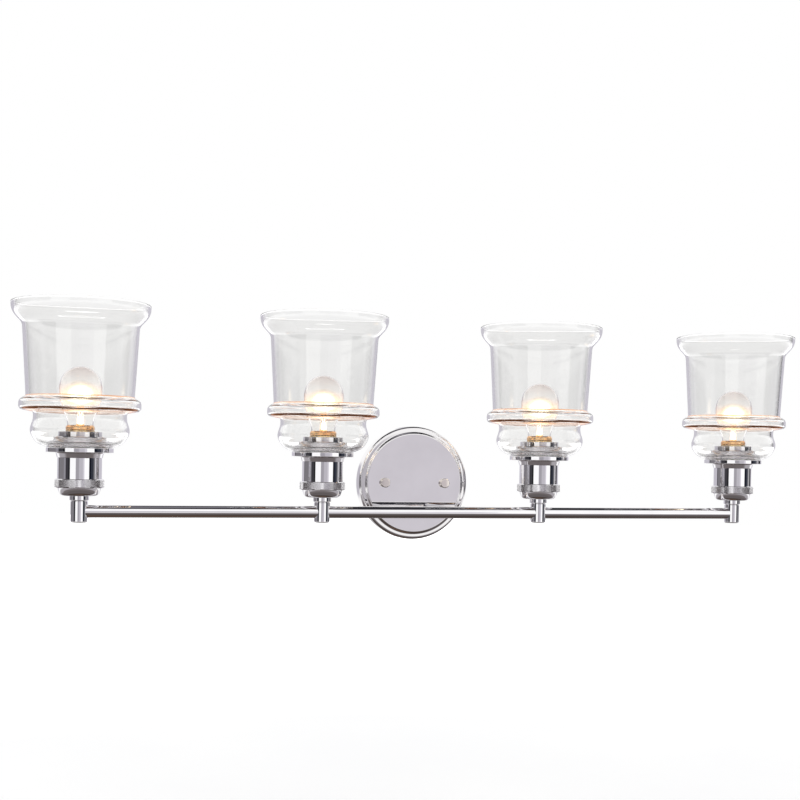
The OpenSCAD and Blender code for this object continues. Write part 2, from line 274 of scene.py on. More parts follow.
def cut(shape, *cutters):
    """The shape less its cutters."""
    body = loose("blank", mesh_of("blank", shape))
    tools = [loose("tool", mesh_of("tool", c)) for c in cutters]
    for tool in tools:
        step = body.modifiers.new("cut", "BOOLEAN")
        step.operation, step.solver, step.object = "DIFFERENCE", "EXACT", tool
    result = shape_of(body)
    for tool in tools:
        bpy.data.objects.remove(tool)
    return result


def rod(radius, low, high, segments=64):
    return spin([(0, low), (radius, low), (radius, high), (0, high)], segments)


def plate(loops, thickness, bevel):
    """Closed loops of (x, y) filled as a flat plate with eased edges; loops inside are holes."""
    curve = bpy.data.curves.new("plate", "CURVE")
    curve.dimensions, curve.fill_mode = "2D", "BOTH"
    curve.extrude, curve.bevel_depth = thickness / 2 - bevel, bevel
    curve.bevel_resolution, curve.offset = 2, -bevel
    for loop in loops:
        spline = curve.splines.new("POLY")
        spline.points.add(len(loop) - 1)
        for point, (x, y) in zip(spline.points, loop):
            point.co = (x, y, 0, 1)
        spline.use_cyclic_u = True
    return shape_of(loose("plate", curve))


def circle(x, y, radius, count=48):
    turns = [2 * math.pi * k / count for k in range(count)]
    return [(x + radius * math.cos(a), y + radius * math.sin(a)) for a in turns]


def stadium(x, half_length, radius, count=24):
    """A slot's outline along X, half_length to the tip of each round end."""
    loop = []
    for side in (1, -1):
        for k in range(count + 1):
            a = math.pi * (k / count - 0.5) + (0 if side > 0 else math.pi)
            centre = x + side * (half_length - radius)
            loop.append((centre + radius * math.cos(a), radius * math.sin(a)))
    return loop


def tube(routes, radius, resolution=4):
    """Round tubes with flat ends along lists of points."""
    curve = bpy.data.curves.new("tube", "CURVE")
    curve.dimensions, curve.bevel_depth = "3D", radius
    curve.bevel_resolution, curve.use_fill_caps = resolution, True
    for route in routes:
        spline = curve.splines.new("POLY")
        spline.points.add(len(route) - 1)
        for point, place in zip(spline.points, route):
            point.co = (*place, 1)
    return shape_of(loose("tube", curve))


def eased(points, reach, steps=6):
    """A route in space with smooth corners."""
    route = [Vector(points[0])]
    for a, b, c in zip(points, points[1:], points[2:]):
        route += corner(a, b, c, reach, steps)
    return route + [Vector(points[-1])]


def hexagon(flats, chamfer_r):
    """Radius of a hexagon by angle, cut back to a round chamfer."""

    def radius(angle):
        turn = (angle + math.pi / 6) % (math.pi / 3) - math.pi / 6
        return min(flats / 2 / math.cos(turn), chamfer_r)

    return radius


def nut(flats, height, bore):
    across = flats / math.sqrt(3)
    small, large = hexagon(flats, flats / 2 * 1.02), hexagon(flats, across)
    ease = 0.14 * (across - flats / 2) + 0.5
    return spin([
        (bore + 0.3, 0), (small, 0), (large, ease), (large, height - ease), (small, height),
        (bore + 0.3, height), (bore, height - 0.3), (bore, 0.3)
    ], 72)


# ---- pieces ----


def make(name, shape, look, body, nodes=(), place=Matrix.Identity(4), weighted=False):
    """Scales a shape to metres, puts it in its place, and lets it ride on its body."""
    mesh = mesh_of(name, shape)
    mesh.transform(place @ Matrix.Scale(MM, 4))
    mesh.shade_smooth()
    mesh.set_sharp_from_angle(angle=CREASE)
    mesh.materials.append(look)
    obj = loose(name, mesh)
    if weighted:
        step = obj.modifiers.new("normals", "WEIGHTED_NORMAL")
        step.keep_sharp, step.weight = True, 80
    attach(obj, body)
    if nodes:
        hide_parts(*nodes)
    return obj


def at_lamp(i):
    return Matrix.Translation((LAMP_X[i], BAR_AXIS.y, BAR_AXIS.z))


# ---- materials ----


class Look:
    """A material under construction: one Principled shader and the textures that feed it."""

    def __init__(self, name, **sockets):
        self.material = bpy.data.materials.new(name)
        self.material.use_nodes = True
        self.tree = self.material.node_tree
        self.shader = self.tree.nodes["Principled BSDF"]
        for key, value in sockets.items():
            self.shader.inputs[key.replace("_", " ")].default_value = value
        self.coords = self.tree.nodes.new("ShaderNodeTexCoord").outputs["Object"]

    def node(self, kind, **values):
        made = self.tree.nodes.new(kind)
        for key, value in values.items():
            if hasattr(made, key):
                setattr(made, key, value)
            else:
                made.inputs[key.replace("_", " ")].default_value = value
        return made

    def link(self, source, target):
        self.tree.links.new(source, target)

    def noise(self, scale, detail=3.0, stretch=(1, 1, 1), distortion=0.0):
        """A noise texture in the object's own space; scale is in features per metre."""
        mapping = self.node("ShaderNodeMapping", Scale=stretch)
        self.link(self.coords, mapping.inputs["Vector"])
        made = self.node("ShaderNodeTexNoise", Scale=scale, Detail=detail, Distortion=distortion)
        self.link(mapping.outputs["Vector"], made.inputs["Vector"])
        return made.outputs["Fac"]

    def ramp(self, factor, stops, interpolation="LINEAR"):
        """A colour ramp from (position, colour) stops."""
        made = self.node("ShaderNodeValToRGB")
        band = made.color_ramp
        band.interpolation = interpolation
        while len(band.elements) < len(stops):
            band.elements.new(0.5)
        for element, (position, colour) in zip(band.elements, stops):
            element.position = position
            element.color = (*colour, 1)
        self.link(factor, made.inputs["Fac"])
        return made.outputs["Color"]

    def spread(self, factor, low, high):
        """A factor from 0 to 1 turned into a number from low to high."""
        made = self.node("ShaderNodeMapRange")
        made.inputs["From Min"].default_value = 0.3
        made.inputs["From Max"].default_value = 0.7
        made.inputs["To Min"].default_value = low
        made.inputs["To Max"].default_value = high
        self.link(factor, made.inputs["Value"])
        return made.outputs["Result"]

    def colour(self, factor, *colours):
        last = len(colours) - 1
        stops = [(0.3 + 0.4 * k / last, c) for k, c in enumerate(colours)]
        self.link(self.ramp(factor, stops), self.shader.inputs["Base Color"])

    def roughness(self, factor, low, high):
        self.link(self.spread(factor, low, high), self.shader.inputs["Roughness"])

    def bump(self, height, strength, distance):
        """A bump; distance is its depth in metres."""
        made = self.node("ShaderNodeBump", Strength=strength, Distance=distance)
        self.link(height, made.inputs["Height"])
        self.link(made.outputs["Normal"], self.shader.inputs["Normal"])


def chrome_look(name, rough_low, rough_high, tints=((0.86, 0.85, 0.87), (0.91, 0.90, 0.915))):
    look = Look(name, Metallic=1.0)
    look.colour(look.noise(34, 4), *tints)
    look.roughness(look.noise(900, 5, stretch=(1, 1, 0.25)), rough_low, rough_high)
    look.bump(look.noise(30, 1), 0.1, 0.00006)
    return look.material


def steel_look():
    look = Look("zinc_plated_steel", Metallic=1.0)
    tint = look.noise(90, 6, distortion=0.6)
    look.colour(tint, (0.50, 0.50, 0.53), (0.60, 0.59, 0.56), (0.66, 0.64, 0.55))
    look.roughness(look.noise(500, 6), 0.24, 0.42)
    look.bump(look.noise(2600, 4, stretch=(0.15, 1, 1)), 0.3, 0.00005)
    return look.material


def brass_look(name, *tints):
    look = Look(name, Metallic=1.0)
    look.colour(look.noise(160, 6, distortion=0.4), *tints)
    look.roughness(look.noise(420, 5), 0.16, 0.34)
    look.bump(look.noise(1500, 4, stretch=(1, 1, 3)), 0.2, 0.00004)
    return look.material


def solder_look():
    look = Look("solder", Metallic=1.0)
    look.colour(look.noise(700, 5), (0.45, 0.45, 0.46), (0.66, 0.65, 0.63))
    look.roughness(look.noise(900, 5), 0.25, 0.5)
    look.bump(look.noise(900, 3), 0.5, 0.00012)
    return look.material


def height_band(look, centre, reach):
    """1 at a height above the bar's axis, in mm, and 0 a reach above and below it."""
    split = look.node("ShaderNodeSeparateXYZ")
    look.link(look.coords, split.inputs["Vector"])
    off = look.node("ShaderNodeMath", operation="SUBTRACT")
    off.inputs[1].default_value = (centre - BAR_DROP) * MM
    look.link(split.outputs["Z"], off.inputs[0])
    far = look.node("ShaderNodeMath", operation="ABSOLUTE")
    look.link(off.outputs["Value"], far.inputs[0])
    near = look.node("ShaderNodeMapRange", interpolation_type="SMOOTHERSTEP")
    near.inputs["From Max"].default_value = reach * MM
    near.inputs["To Min"].default_value = 1.0
    near.inputs["To Max"].default_value = 0.0
    look.link(far.outputs["Value"], near.inputs["Value"])
    return near.outputs["Result"]


def shade_glass_look():
    """Clear glass with a painted amber glow line where the bead meets the bowl and the body."""
    look = Look("clear_blown_glass", Transmission_Weight=1.0, IOR=1.5)
    # Painted glow of the coil's light, as an amber tint at the bead's top and bottom
    painted_glow_lines = look.node("ShaderNodeMath", operation="ADD", use_clamp=True)
    for socket, height in zip(painted_glow_lines.inputs, (BEAD_LOW, BEAD_HIGH)):
        look.link(height_band(look, SHADE_LOW + height, 1.3), socket)
    clear = look.ramp(look.noise(7, 2), [(0.3, (0.922, 0.922, 0.918)), (0.7, (0.94, 0.938, 0.933))])
    painted_amber = look.ramp(look.noise(25, 2), [(0.35, (0.55, 0.26, 0.11)), (0.65, (0.80, 0.60, 0.44))])
    tint = look.node("ShaderNodeMix", data_type="RGBA")
    look.link(painted_glow_lines.outputs["Value"], tint.inputs["Factor"])
    look.link(clear, tint.inputs["A"])
    look.link(painted_amber, tint.inputs["B"])
    look.link(tint.outputs["Result"], look.shader.inputs["Base Color"])
    # The amber lines also give off light: painted glow, though the glass is no lamp
    warm = look.ramp(painted_glow_lines.outputs["Value"], [(0.3, (0, 0, 0)), (0.9, (0.30, 0.10, 0.03))])
    look.link(warm, look.shader.inputs["Emission Color"])
    look.shader.inputs["Emission Strength"].default_value = 0.35
    look.roughness(look.noise(60, 4), 0.0, 0.01)
    look.bump(look.noise(14, 1, stretch=(1, 1, 0.6)), 0.10, 0.0005)
    return look.material


def bulb_glass_look():
    """Thin clear glass, darker and browner at its crown, with a painted warm glow round the coil.
    """
    look = Look("bulb_glass", Transmission_Weight=1.0, IOR=1.16)
    clear = look.ramp(look.noise(30, 2), [
        (0.3, (0.975, 0.965, 0.95)), (0.7, (0.99, 0.985, 0.975))
    ])
    crown_tint = look.ramp(look.noise(60, 4), [
        (0.3, (0.925, 0.880, 0.860)), (0.7, (0.955, 0.918, 0.900))
    ])
    tint = look.node("ShaderNodeMix", data_type="RGBA")
    look.link(height_band(look, BULB_TOP, 20.0), tint.inputs["Factor"])
    look.link(clear, tint.inputs["A"])
    look.link(crown_tint, tint.inputs["B"])
    look.link(tint.outputs["Result"], look.shader.inputs["Base Color"])
    look.roughness(look.noise(120, 3), 0.0, 0.015)
    look.bump(look.noise(40, 1), 0.05, 0.0002)
    # Painted glow: the glass gives off warm light at the coil's height, though it is no lamp
    flare = look.ramp(height_band(look, COIL_HEIGHT, 19.0), [
        (0.0, (0.0, 0.0, 0.0)), (0.4, (0.30, 0.12, 0.04)), (1.0, (1.0, 0.56, 0.20))
    ])
    look.link(flare, look.shader.inputs["Emission Color"])
    look.shader.inputs["Emission Strength"].default_value = 0.13
    return look.material


def glare_look(name, out):
    """A haze of light round the coil; out runs from 0 at the core to 1 at the fringe."""
    look = Look(name, Roughness=1.0, Specular_IOR_Level=0.0, Alpha=0.07 + 0.63 * (1 - out) ** 2,
                Emission_Strength=1.15 + 4.0 * (1 - out) ** 2)
    look.colour(look.noise(90, 2), (0.010, 0.006, 0.002), (0.014, 0.009, 0.004))
    pale = (1.0, 0.96 - 0.14 * out, 0.86 - 0.30 * out)
    deep = (1.0, 0.90 - 0.22 * out, 0.68 - 0.36 * out)
    warm = look.ramp(look.noise(120, 2), [(0.3, deep), (0.7, pale)])
    look.link(warm, look.shader.inputs["Emission Color"])
    return look.material


def filament_look():
    look = Look("hot_tungsten", Roughness=0.5, Emission_Strength=60.0)
    heat = look.ramp(look.noise(800, 2), [(0.3, (1.0, 0.60, 0.24)), (0.7, (1.0, 0.76, 0.44))])
    look.link(heat, look.shader.inputs["Emission Color"])
    look.colour(look.noise(800, 2), (0.3, 0.28, 0.26), (0.4, 0.37, 0.33))
    return look.material


def mount_glass_look():
    """Clear glass with painted sparkles: small spots of it give off the coil's light."""
    look = Look("mount_glass", Transmission_Weight=1.0, IOR=1.5, Emission_Strength=1.0)
    look.colour(look.noise(200, 3), (0.94, 0.93, 0.90), (0.98, 0.97, 0.95))
    look.roughness(look.noise(300, 3), 0.01, 0.08)
    # Painted glints: emission in small spots of the glass
    painted_sparkles = look.ramp(look.noise(420, 3, distortion=1.5), [
        (0.50, (0.0, 0.0, 0.0)), (0.58, (0.75, 0.38, 0.10)), (0.66, (1.0, 0.85, 0.55))
    ])
    look.link(painted_sparkles, look.shader.inputs["Emission Color"])
    return look.material


def porcelain_look():
    look = Look("porcelain", Coat_Weight=0.6, Coat_Roughness=0.08)
    look.colour(look.noise(300, 6), (0.80, 0.78, 0.73), (0.90, 0.885, 0.85))
    look.roughness(look.noise(220, 5), 0.25, 0.45)
    look.bump(look.noise(900, 4), 0.25, 0.00008)
    return look.material


def foot_glass_look():
    look = Look("black_foot_glass", Coat_Weight=0.5, Coat_Roughness=0.05)
    look.colour(look.noise(400, 4), (0.012, 0.012, 0.014), (0.035, 0.032, 0.03))
    look.roughness(look.noise(400, 4), 0.12, 0.3)
    look.bump(look.noise(600, 3), 0.3, 0.0001)
    return look.material


def green_look():
    look = Look("green_screw", Metallic=0.7)
    look.colour(look.noise(500, 5), (0.03, 0.20, 0.07), (0.06, 0.36, 0.13))
    look.roughness(look.noise(600, 5), 0.25, 0.45)
    look.bump(look.noise(1800, 3), 0.2, 0.00004)
    return look.material


def jacket_look(name, dark, pale):
    look = Look(name, Coat_Weight=0.1)
    look.colour(look.noise(600, 4), dark, pale)
    look.roughness(look.noise(700, 4), 0.35, 0.55)
    look.bump(look.noise(2500, 3, stretch=(1, 1, 0.3)), 0.2, 0.00005)
    return look.material


CHROME = chrome_look("polished_chrome", 0.012, 0.04)
CANOPY_CHROME = chrome_look("canopy_chrome", 0.012, 0.04,
                            ((0.79, 0.775, 0.78), (0.84, 0.825, 0.83)))
# Darker, tan copy of the polished chrome for the cap nuts: painted shade, and a painted warm
# reflection of the lit bulbs
PAINTED_TAN_SHADE_CHROME = chrome_look("nut_chrome_painted_shade", 0.06, 0.12, ((0.70, 0.65, 0.61), (0.78, 0.72, 0.67)))
# Darker copy of the polished chrome for the arms: painted shade
PAINTED_SHADE_CHROME = chrome_look("arm_chrome_painted_shade", 0.015, 0.05, ((0.34, 0.33, 0.36), (0.42, 0.41, 0.44)))
KNURL_CHROME = chrome_look("knurled_chrome", 0.03, 0.08)
STEEL = steel_look()
BRASS = brass_look("brass", (0.62, 0.38, 0.16), (0.83, 0.60, 0.27), (0.88, 0.68, 0.34))
COPPER = brass_look("copper_cap", (0.80, 0.34, 0.10), (0.92, 0.50, 0.20), (0.95, 0.62, 0.30))
SOLDER = solder_look()
SHADE_GLASS = shade_glass_look()
BULB_GLASS = bulb_glass_look()
FILAMENT = filament_look()
MOUNT_GLASS = mount_glass_look()
GLARE_SHELLS = 6
GLARES = [glare_look(f"glare_{k}", k / (GLARE_SHELLS - 1)) for k in range(GLARE_SHELLS)]
PORCELAIN = porcelain_look()
FOOT_GLASS = foot_glass_look()
GREEN = green_look()
CONNECTOR = jacket_look("twist_on_connector", (0.62, 0.17, 0.03), (0.78, 0.25, 0.05))
JACKETS = {
    -1: jacket_look("live_jacket", (0.018, 0.018, 0.02), (0.05, 0.05, 0.052)),
    1: jacket_look("neutral_jacket", (0.74, 0.73, 0.70), (0.86, 0.85, 0.82)),
}


# ---- bar, arms and canopy ----


def both_sides(shape):
    """Two of a shape, one at each fixing."""
    return joined(*(moved(shape, Matrix.Translation((side * FIXING_X, 0, 0)))
                    for side in (-1, 1)))


def make_bar():
    ease = 0.4
    shell = spin([
        (BAR_BORE_R, -BAR_HALF), (BAR_R - ease, -BAR_HALF), (BAR_R, ease - BAR_HALF),
        (BAR_R, BAR_HALF - ease), (BAR_R - ease, BAR_HALF), (BAR_BORE_R, BAR_HALF)
    ], 128)
    reach = BAR_R + 2
    ports = [
        moved(rod(WIRE_PORT_R, 0, reach), Matrix.Translation((x / MM, 0, 0)))
        for x in LAMP_X.values()
    ]
    ports += [
        moved(rod(WIRE_PORT_R, -reach, 0),
              Matrix.Translation((side * FIXING_X, 0, 0)) @ ALONG_FRONT)
        for side in (-1, 1)
    ]
    shape = cut(moved(shell, ALONG_X), *ports)
    make("cross_bar", shape, CHROME, "fixture", ["bar"],
         Matrix.Translation((0, BAR_AXIS.y, BAR_AXIS.z)), weighted=True)


def arm():
    """A tube along -Y with a saddle against the bar and a thinner tail behind the canopy."""
    ease = 0.3
    path = [
        (ARM_BORE_R, ARM_TAIL - CANOPY_DEPTH), (ARM_TAIL_R - ease, ARM_TAIL - CANOPY_DEPTH),
        (ARM_TAIL_R, ARM_TAIL + ease - CANOPY_DEPTH), (ARM_TAIL_R, -CANOPY_DEPTH),
        (ARM_R - ease, -CANOPY_DEPTH), (ARM_R, -CANOPY_DEPTH - ease), (ARM_R, -BAR_OUT),
        (ARM_BORE_R, -BAR_OUT)
    ]
    verts, faces = spin([(r, -y) for r, y in path], 72)
    shaped = []
    for x, y, z in verts:
        if z > BAR_OUT - BAR_R:
            z = BAR_OUT - math.sqrt(BAR_R**2 - y**2)
        shaped.append((x, y, z))
    return moved((shaped, faces), ALONG_FRONT)


def make_arms():
    make("arm_tubes", both_sides(arm()), PAINTED_SHADE_CHROME, "fixture", ["arms"],
         Matrix.Translation((0, 0, BAR_AXIS.z)))
    flats, thick = 14.0, 4.0
    behind = CANOPY_DEPTH - CANOPY_WALL - thick
    nuts = both_sides(nut(flats, thick, ARM_TAIL_R + RUN))
    make("lock_nuts", nuts, STEEL, "fixture", ["arm_nuts"],
         Matrix.Translation((0, 0, BAR_AXIS.z)) @ ALONG_FRONT
         @ Matrix.Translation((0, 0, behind * MM)))


def make_canopy():
    ring_h, ring_r, disc_r = CANOPY_DEPTH - 2.6, CANOPY_R - 6.4, CANOPY_R - 8.2
    skin = outline([
        (CANOPY_R, 0, 0), (CANOPY_R, ring_h, 3.4), (ring_r, ring_h + 0.5, 0.9),
        (disc_r, CANOPY_DEPTH, 1.1), (0, CANOPY_DEPTH, 0)
    ])
    lining = inset(skin, CANOPY_WALL)
    lining[-1] = (0, CANOPY_DEPTH - CANOPY_WALL)
    shell = spin(skin + lining[::-1], 192)
    holes = []
    for side in (-1, 1):
        for height, radius in ((0, 2.6), (-BAR_DROP, ARM_TAIL_R + FIT)):
            place = Matrix.Translation((side * FIXING_X, height, 0))
            holes.append(moved(rod(radius, CANOPY_DEPTH / 2, CANOPY_DEPTH + 2), place))
    make("canopy_cover", cut(shell, *holes), CANOPY_CHROME, "fixture", ["canopy"],
         ALONG_FRONT, weighted=True)


def make_cap_nuts():
    low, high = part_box("cap_nut_right")
    height, radius = (high.y - low.y) / MM, (high.x - low.x) / 2 / MM
    bore, bore_depth = STUD_R + RUN, 3.2
    button = outline([
        (bore + 0.3, 0, 0), (radius - 0.3, 0, 0), (radius, 0.3, 0), (radius, height, 1.1),
        (0, height, 0)
    ])
    shape = spin(button + [(0, bore_depth + 0.4), (bore, bore_depth), (bore, 0.3)], ROUND)
    for side, name in ((-1, "left"), (1, "right")):
        place = Matrix.Translation((side * FIXING_X * MM, high.y, 0)) @ ALONG_FRONT
        make(f"cap_nut_{name}_button", shape, PAINTED_TAN_SHADE_CHROME, f"cap_nut_{name}_body",
             [f"cap_nut_{name}"], place)


def make_strap():
    low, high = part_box("mounting_strap")
    thick, half = (high.y - low.y) / MM, high.x / MM
    end_r, slot_r, slot_half, screw_x, ground_x = 9.5, 2.4, 4.5, 44.45, 15.0
    loops = [stadium(0, half, end_r), circle(0, 0, STRAP_CENTRE_R)]
    loops += [circle(x, 0, STUD_R + RUN, 32) for x in (-FIXING_X, FIXING_X, ground_x)]
    loops += [stadium(side * screw_x, slot_half, slot_r, 16) for side in (-1, 1)]
    make("crossbar_strap", plate(loops, thick, 0.25), STEEL, "fixture",
         ["mounting_strap"], ALONG_FRONT @ Matrix.Translation((0, 0, thick / 2 * MM)))
    stud_len = -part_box("studs")[0].y / MM
    stud = spin(
        [(0, 0), (STUD_R - 0.4, 0), (STUD_R, 0.4)]
        + thread(STUD_R - 0.35, STUD_R, thick + 0.2, stud_len - 0.5, 0.8)
        + [(STUD_R - 0.4, stud_len), (0, stud_len)], 48
    )
    make("fixing_studs", both_sides(stud), STEEL, "fixture",
         ["studs"], ALONG_FRONT)
    base = thick
    head = spin(outline([
        (0, 0, 0), (2.0, 0, 0), (2.0, base, 0), (4.6, base, 0.2), (4.6, base + 0.8, 0.3)
    ], 2) + [
        (hexagon(6.9, 4.0), base + 0.85), (hexagon(6.9, 4.0), base + 2.6),
        (hexagon(6.9, 3.5), base + 3.35), (0, base + 3.35)
    ], 72)
    driver = [(x, y, z) for x in (-4.2, 4.2) for y in (-0.5, 0.5) for z in (2.3, 4.5)]
    driver = [(x, y, base + z) for x, y, z in driver]
    sides = [(0, 1, 3, 2), (4, 6, 7, 5), (0, 4, 5, 1), (2, 3, 7, 6), (0, 2, 6, 4), (1, 5, 7, 3)]
    make("earth_screw", cut(head, (driver, sides)), GREEN, "fixture",
         ["ground_screw"], ALONG_FRONT @ Matrix.Translation((ground_x * MM, 0, 0)))


def make_wiring():
    """One wire to each side: along the bar, up every lamp, and back through an arm."""
    wire_r, apart, low, depth, top = 0.75, 1.2, 0.8, 8.0, 40.0
    connector_x, connector_z, connector_len = 26.0, -44.0, 15.0
    far = max(LAMP_X.values()) / MM + 1
    for side, name in ((-1, "live"), (1, "neutral")):
        y, z = side * apart - BAR_OUT, -BAR_DROP - low
        routes = [[(-far, y, z), (far, y, z)]]
        for x in LAMP_X.values():
            at = x / MM + side
            routes.append([(at, y, z), (at, y, top - BAR_DROP)])
        x = side * FIXING_X
        routes.append(eased([
            (x, y, z), (x, -depth, z), (x, -depth, connector_z),
            (side * (connector_x - 4), -depth, connector_z)
        ], 3.0))
        make(f"{name}_wire", tube(routes, wire_r), JACKETS[side], "fixture",
             ["wiring_harness"] if side > 0 else ())

    def ribbed(radius):
        return lambda angle: radius * (1 + 0.045 * math.cos(14 * angle))

    shape = spin([
        (2.2, 0.3), (2.5, 0), (4.9, 0), (5.2, 0.4), (5.2, 4.2), (4.9, 5.0), (ribbed(4.75), 5.6),
        (ribbed(3.5), connector_len - 1.4), (3.0, connector_len - 0.4),
        (2.2, connector_len), (0, connector_len), (0, 8.0), (2.2, 7.4)
    ], 112)
    both = []
    for side in (-1, 1):
        turn = Matrix.Rotation(math.radians(-side * 90), 4, "Y")
        place = Matrix.Translation((side * connector_x, -depth, connector_z))
        both.append(moved(shape, place @ turn))
    make("twist_connectors", joined(*both), CONNECTOR, "fixture",
         ["wire_connectors"])


# ---- one lamp, from the bar upwards ----


def make_stem(i):
    """A turned post that the bar passes through; the end posts hold the bar's ends."""
    post = spin(outline([
        (0, STEM_FOOT, 0), (STEM_R, STEM_FOOT, 1.4), (STEM_R, GROOVE_LOW - 0.25, 0),
        (STEM_R - 0.25, GROOVE_LOW, 0), (STEM_R - 0.5, GROOVE_LOW, 0),
        (STEM_R - 0.5, GROOVE_HIGH, 0), (COLLAR_R, GROOVE_HIGH + 0.5, 0.4),
        (COLLAR_R, COLLAR_TOP, 0), (NIPPLE_R, COLLAR_TOP, 0)
    ]) + thread(NIPPLE_R - 0.4, NIPPLE_R, COLLAR_TOP + 0.1, NIPPLE_TOP, 1.0) + [
        (0, NIPPLE_TOP)
    ], 128)
    inward = {LAMPS[0]: 1, LAMPS[-1]: -1}.get(i, 0)
    through = 20.0
    near = -through if inward == 0 else -BAR_END - FIT
    cross = moved(rod(BAR_R + FIT, near, through, 96), ALONG_X)
    if inward < 0:
        cross = moved(cross, Matrix.Rotation(math.pi, 4, "Z"))
    shape = cut(post, rod(STEM_BORE_R, 0, NIPPLE_TOP + 2), cross)
    make(f"post_{i}", shape, CHROME, "fixture", [f"stem_{i}"], at_lamp(i),
         weighted=True)


def make_cup(i):
    bore = CUP_R - CUP_WALL
    skin = outline([
        (NIPPLE_R + FIT, COLLAR_TOP, 0), (CUP_R - 3.2, COLLAR_TOP, 3.4), (CUP_R, BAND_LOW, 5.0),
        (CUP_R, SHOULDER - 0.2, 0), (CUP_R - 0.2, SHOULDER, 0), (BARREL_R, SHOULDER, 0)
    ])
    barrel = thread(BARREL_R - 0.45, BARREL_R, SEAT_TOP, RING_HIGH - 0.6, 1.5)
    inside = outline([
        (BARREL_R, RING_HIGH, 0), (BARREL_R, BARREL_TOP, 0.4), (bore, BARREL_TOP, 0),
        (bore, BAND_LOW, 4.4),
        (bore - 3, COLLAR_TOP + CUP_FLOOR, 2.6), (NIPPLE_R + FIT, COLLAR_TOP + CUP_FLOOR, 0)
    ])
    make(f"cup_{i}", spin(skin + barrel + inside, FINE), CHROME, "fixture",
         [f"socket_cup_{i}"], at_lamp(i))
    band = knurled(CUP_R + FIT, BAND_R, BAND_LOW, BAND_HIGH)
    make(f"grip_band_{i}", band, KNURL_CHROME, "fixture", [f"knurled_band_{i}"],
         at_lamp(i))


def make_seat(i):
    bore = BARREL_R + FIT
    shape = spin(outline([
        (bore, SHOULDER, 0), (CUP_R + 0.5, SHOULDER, 0.3), (CUP_R + 1.9, FLANGE, 1.2),
        (SEAT_R, FLANGE, 0.5), (SEAT_R, SEAT_TOP, 0.5), (bore, SEAT_TOP, 0)
    ]), FINE)
    make(f"seat_flange_{i}", shape, CHROME, "fixture", [f"shade_seat_{i}"], at_lamp(i))


def make_ring(i):
    bore = BARREL_R + RUN
    shape = knurled(bore, RING_R, RING_LOW, RING_HIGH, teeth=132)
    make(f"clamp_ring_{i}", shape, KNURL_CHROME, f"ring_{i}", [f"retaining_ring_{i}"],
         at_lamp(i))


def make_holder(i):
    """Porcelain body with its screw shell and spring contact."""
    floor, outer, top = COLLAR_TOP + CUP_FLOOR + FIT, CUP_R - CUP_WALL - 0.1, BARREL_TOP - 1.2
    well, contact, tip = SHELL_R + FIT, 50.0, 56.0
    body = spin(outline([
        (NIPPLE_R + 0.3, floor, 0), (outer - 5, floor, 3), (outer, BAND_LOW + 3, 4),
        (outer, top, 0.6), (well + 0.4, top, 0), (well, top - 0.4, 0), (well, SHELL_LOW, 0),
        (9.0, SHELL_LOW, 0), (9.0, contact, 0), (NIPPLE_R + 0.3, contact, 0)
    ]), ROUND)
    make(f"holder_body_{i}", body, PORCELAIN, "fixture", [f"insulator_{i}"],
         at_lamp(i))
    wall, groove = 0.7, 13.3
    lip = SHELL_TOP - 1.2
    shell = spin(
        [(9.0, SHELL_LOW), (SHELL_R - 0.3, SHELL_LOW), (SHELL_R, SHELL_LOW + 0.3),
         (SHELL_R, SHELL_TOP - 0.2), (SHELL_R - 0.2, SHELL_TOP), (groove + 0.2, SHELL_TOP)]
        + thread(groove - 0.4, groove, SHELL_LOW + wall + 0.6, lip, THREAD_PITCH, inside=True)
        + [(groove - 0.4, SHELL_LOW + wall), (9.0, SHELL_LOW + wall)], ROUND
    )
    make(f"lamp_shell_{i}", shell, BRASS, "fixture", [f"screw_shell_{i}"], at_lamp(i))
    thick, height = 0.6, tip - contact - 0.1
    bend = [(8, 0), (-3, 0), (-3, height), (4, height), (4, height - thick),
            (thick - 3, height - thick), (thick - 3, thick), (8, thick)]
    strip = plate([bend], 5.0, 0.12)
    turn = Matrix.Rotation(math.radians(90), 4, "X")
    make(f"spring_contact_{i}", strip, BRASS, "fixture",
         ["centre_contacts"] if i == 1 else (),
         at_lamp(i) @ Matrix.Translation((0, 0, contact * MM)) @ turn)


def make_shade(i):
    lip_r = (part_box(f"glass_shade_{i}")[1].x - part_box(f"glass_shade_{i}")[0].x) / 2 / MM
    skin = outline([
        (BARREL_R + 1, 0, 0), (SEAT_R - 1.4, 0, 2), (42, 4.6, 5), (48.4, 16, 5.5),
        (44.2, 28.6, 4), (45, 34.6, 1.2), (58.4, 37, 3.8), (58.4, 46.4, 3.6),
        (51.8, 49.8, 1.6), (56, SHADE_H - 21, 3.4), (lip_r, SHADE_H - 9.4, 7),
        (lip_r, SHADE_H - 1, 0)
    ])
    lining = inset(skin, SHADE_WALL)
    half = SHADE_WALL / 2
    brim = [(lip_r - half + half * math.cos(a), SHADE_H - 1 + math.sin(a))
            for a in (math.pi * k / 8 for k in range(1, 8))]
    make(f"shade_{i}_glass", spin(skin + brim + lining[::-1], FINE), SHADE_GLASS, f"shade_{i}",
         [f"glass_shade_{i}"],
         at_lamp(i) @ Matrix.Translation((0, 0, SHADE_LOW * MM))).visible_shadow = False


